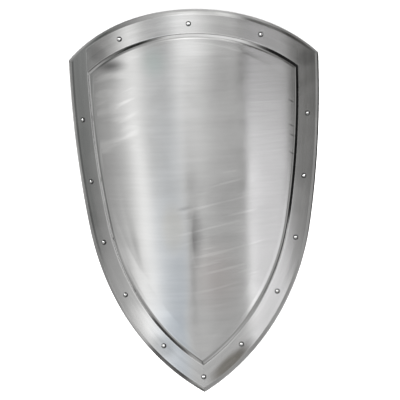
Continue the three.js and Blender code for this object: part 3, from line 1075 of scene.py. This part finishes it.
print("the slant of a panel has no effect at T =", -SLANT_ZERO)

# %% [markdown]
# Each panel has a level, a tint, its A angles, its T angles and its slant. The first panels are
# what the field shows, from left to right. Then come those for the strips, the lip and the slope,
# which face other ways. They could be real lamps, but a few large lamps can't be kept apart so
# neatly, and these panels cost hardly any render time.

# %% Panels of light
DIM_ROOM, ROOM_TINT = 0.453, (1.0, 0.996, 0.985)
DARKEST = (0.02, 0.02, 0.02)
WHITE = (1, 1, 1)
PANELS = {
    "left band": (0.32, (1, 1, 0.99), (-46, -31.5, -31.5, -17), (-60, -35, -9, 2), -0.8),
    "left core": (0.47, (1, 1, 0.99), (-38, -31.5, -31, -24), (-40, -25, -11, -5), -0.8),
    "plateau": (0.30, (0.98, 1, 1), (-30, -20, -9.9, -8.2), (-30, -19, -13.5, -12), 0.6),
    "low blue": (-0.20, (1, 0.72, 0.35), (-30, -20, -9.9, -8.2), (-30, -19, -15.9, -15.1), 0.6),
    "after edge": (-0.42, WHITE, (-9.0, -8.2, -6.8, -1), (-17.0, -15.8, -14.6, -13.8), 0.6),
    "low light": (0.18, WHITE, (-10, -8.5, -3, 8), (-30, -24, -17.5, -16.0), 0.6),
    "top middle": (0.74, WHITE, (-18, -8, -7, 12), (-12.5, -10.5, 8, 20), 0),
    "top wide": (0.27, (1, 1, 0.98), (-28, -14, 18, 24), (-9.5, -7, 24, 40), 0),
    "top rim": (0.25, (1, 1, 0.98), (8, 16, 24, 31), (4, 12, 24, 34), 0),
    "top strip left": (-0.22, WHITE, (-56, -52, -44, -38), (-11.2, -9.2, 4, 12), 0),
    "top strip right": (-0.35, WHITE, (21, 25, 36, 44), (-11.2, -9.2, 4, 12), 0),
    "right light": (0.71, (1, 0.985, 1.02), (18.8, 22.4, 39.2, 40.8), (-18.6, -17.3, -13.5, -10.5),
                    0.7),
    "right edge": (0.75, WHITE, (20.4, 22, 22.6, 25), (-40, -30, -15.5, -13), 0.7),
    "right glow": (0.25, (1, 1, 1.01), (19.5, 21.5, 24, 29), (-18.5, -17, -13.8, -12.8), 0.7),
    "right edge up": (-0.42, WHITE, (15, 17.5, 20, 23.5), (-14.8, -13.2, -8, -4), 0.7),
    "dark right": (-0.10, WHITE, (39.2, 40.8, 75, 100), None, 0.7),
    "dark right up": (-0.20, WHITE, (39, 42, 60, 70), (-14.5, -12, 4, 10), 0.4),
    "dark left": (-0.19, (1.04, 1, 1), (-84, -74, -60, -50), (-19, -16, 75, 88), 0),
    "dark left mid": (-0.20, WHITE, (-84, -74, -58, -46), (-19, -16.2, -13.5, -11), 0),
    "rim left": (-0.15, WHITE, (-118, -108, -82, -74), (-52, -46, 4, 12), 0),
    "rim low left": (-0.32, WHITE, (-64, -58, -18, -4), (-90, -80, -52, -48), 0),
    "rim low left inside": (-0.22, WHITE, (-50, -42, -12, -2), (-50, -46, -40, -37), 0),
    "rim low": (-0.14, WHITE, (-46, -38, 24, 34), (-60, -50, -30, -20), 0),
    "rim top left": (-0.22, WHITE, (-70, -62, -50, -34), (5, 10, 16, 22), 0),
    "rim top right": (-0.32, WHITE, (24, 32, 72, 88), (5, 9, 17, 22), 0),
    "step left": (0.34, WHITE, (-134, -129, -114, -104), (-60, -46, -7, 2), 0),
    "step right": (-0.46, WHITE, (90, 102, 119, 127), (-46, -34, 75, 88), 0),
    "step low right": (0.15, WHITE, (50, 75, 115, 130), (-90, -85, -55, -45), 0),
    "step low left": (-0.32, WHITE, (-115, -100, -70, -55), (-90, -85, -62, -56), 0),
    "step top left": (-0.24, WHITE, (-100, -94, -50, -42), (27, 33, 60, 80), 0),
    "step top right": (-0.42, WHITE, (60, 80, 112, 118), (22, 30, 60, 80), 0),
    "step top": (0.50, WHITE, (-44, -30, 50, 66), (34, 44, 75, 88), 0),
    "under left": (-0.42, WHITE, (-154, -146, -131, -125), (-8, -3, 13, 18), 0),
}
light = vector_node(room, "SCALE", ROOM_TINT, scale=DIM_ROOM)
for level, tint, *place in PANELS.values():
    lit = vector_node(room, "SCALE", tuple(level * c for c in tint), scale=panel(*place))
    light = vector_node(room, "ADD", light, lit)
light = vector_node(room, "MAXIMUM", light, DARKEST)
feed(room, room.nodes["Background"].inputs["Color"], light)
print("room panels:", len(PANELS))

# %% [markdown]
# ## Floor and overhead light
#
# The shield lies on plain pale paper. One large softbox straight above lights the paper evenly
# and lays a soft shadow under the rim. Neither shows in the steel: a real studio would move both
# out of the mirror, and here they are simply hidden from glossy rays.

# %% Floor and overhead light
FLOOR_HALF = 9
PAPER = (0.9, 0.9, 0.9, 1)
SOFTBOX_SIDE, SOFTBOX_HEIGHT, SOFTBOX_WATTS = 6.0, 6.5, 1000.0
corners = [(x * FLOOR_HALF, y * FLOOR_HALF, 0) for x, y in ((-1, -1), (1, -1), (1, 1), (-1, 1))]
floor_mesh = bpy.data.meshes.new("floor")
floor_mesh.from_pydata(corners, [], [(0, 1, 2, 3)])
floor = bpy.data.objects.new("floor", floor_mesh)
scene.collection.objects.link(floor)
paper = bpy.data.materials.new("pale_floor")
paper.use_nodes = True
matt = paper.node_tree.nodes["Principled BSDF"].inputs
matt["Base Color"].default_value = PAPER
matt["Roughness"].default_value = 1.0
matt["Specular IOR Level"].default_value = 0.0
floor_mesh.materials.append(paper)
floor.visible_glossy = False

lamp = bpy.data.lights.new("overhead_softbox", "AREA")
lamp.shape = "RECTANGLE"
lamp.size = lamp.size_y = SOFTBOX_SIDE
lamp.energy = SOFTBOX_WATTS
softbox = bpy.data.objects.new("overhead_softbox", lamp)
softbox.location = (0, 0, SOFTBOX_HEIGHT)
softbox.visible_glossy = False
scene.collection.objects.link(softbox)
print("floor side, m:", 2 * FLOOR_HALF, "softbox side, m:", SOFTBOX_SIDE)

# %% [markdown]
# ## Glints
#
# Each rivet's dome mirrors the whole room in a few millimetres, and a lamp in it is a white spot.
# A small bright panel in the room would do that too, but it would also draw a white line along
# every bend of the plate. So four small suns shine on the rivets alone, by light linking.

# %% Glints
GLINT_ANGLES = (-55, -20, 15, 50)
GLINT_TILT, GLINT_WIDTH = 3, 10
GLINT_ENERGY = 0.3
heads = bpy.data.collections.new("rivet_heads")
for piece in rivets:
    heads.objects.link(piece)
for degrees in GLINT_ANGLES:
    spark = bpy.data.lights.new("glint", "SUN")
    spark.angle = math.radians(GLINT_WIDTH)
    spark.energy = GLINT_ENERGY
    lamp_object = bpy.data.objects.new("glint", spark)
    t, a = math.radians(GLINT_TILT), math.radians(degrees)
    towards = Vector((math.cos(t) * math.sin(a), math.sin(t), math.cos(t) * math.cos(a)))
    lamp_object.rotation_mode = "QUATERNION"
    lamp_object.rotation_quaternion = towards.to_track_quat("Z", "Y")
    lamp_object.light_linking.receiver_collection = heads
    scene.collection.objects.link(lamp_object)
print("glints:", len(GLINT_ANGLES))

# %% [markdown]
# ## Camera
#
# The photograph looks almost straight down on the face, from a little above the top edge's side
# and a little to the right, with the camera turned by two and a half degrees. Those three angles,
# the distance and the scale were fitted to the outline, the border's widths and the rivets.

# %% Camera
SENSOR = 36.0
YAW, PITCH, ROLL = 0.0827, 0.1879, 0.0433
DISTANCE = 4.13
PIXELS_PER_METRE = 558.6
IMAGE = 400
AIM = (-3.74 / PIXELS_PER_METRE, 1.56 / PIXELS_PER_METRE)
AIM_Q = -250.0


def place_camera():
    """Camera axes are the rows of roll x pitch x yaw in the sheet's own directions, then leant
    with the shield. It looks at the sheet's point (0, AIM_Q), moved by AIM in the picture."""
    turn = (Matrix.Rotation(ROLL, 3, "Z") @ Matrix.Rotation(PITCH, 3, "X")
            @ Matrix.Rotation(-YAW, 3, "Y"))
    lean = Matrix.Rotation(LEAN, 3, "X")
    right, up, back = (lean @ Vector(row) for row in turn)
    aim = Vector(rolled(np.array(0.0), np.array(AIM_Q), np.array(0.0)))
    data = bpy.data.cameras.new("camera")
    data.sensor_width = SENSOR
    data.lens = PIXELS_PER_METRE * DISTANCE / IMAGE * SENSOR
    data.clip_end = 50.0
    cam = bpy.data.objects.new("camera", data)
    place = aim + back * DISTANCE - right * AIM[0] + up * AIM[1]
    cam.matrix_world = Matrix.Translation(place) @ Matrix((right, up, back)).transposed().to_4x4()
    scene.collection.objects.link(cam)
    scene.camera = cam
    return cam


camera = place_camera()
scene.view_settings.view_transform = "Standard"
print("lens, mm:", round(camera.data.lens, 1))

# %% [markdown]
# ## Sizes
#
# The fine surfaces must stay inside the box of the packed solids.
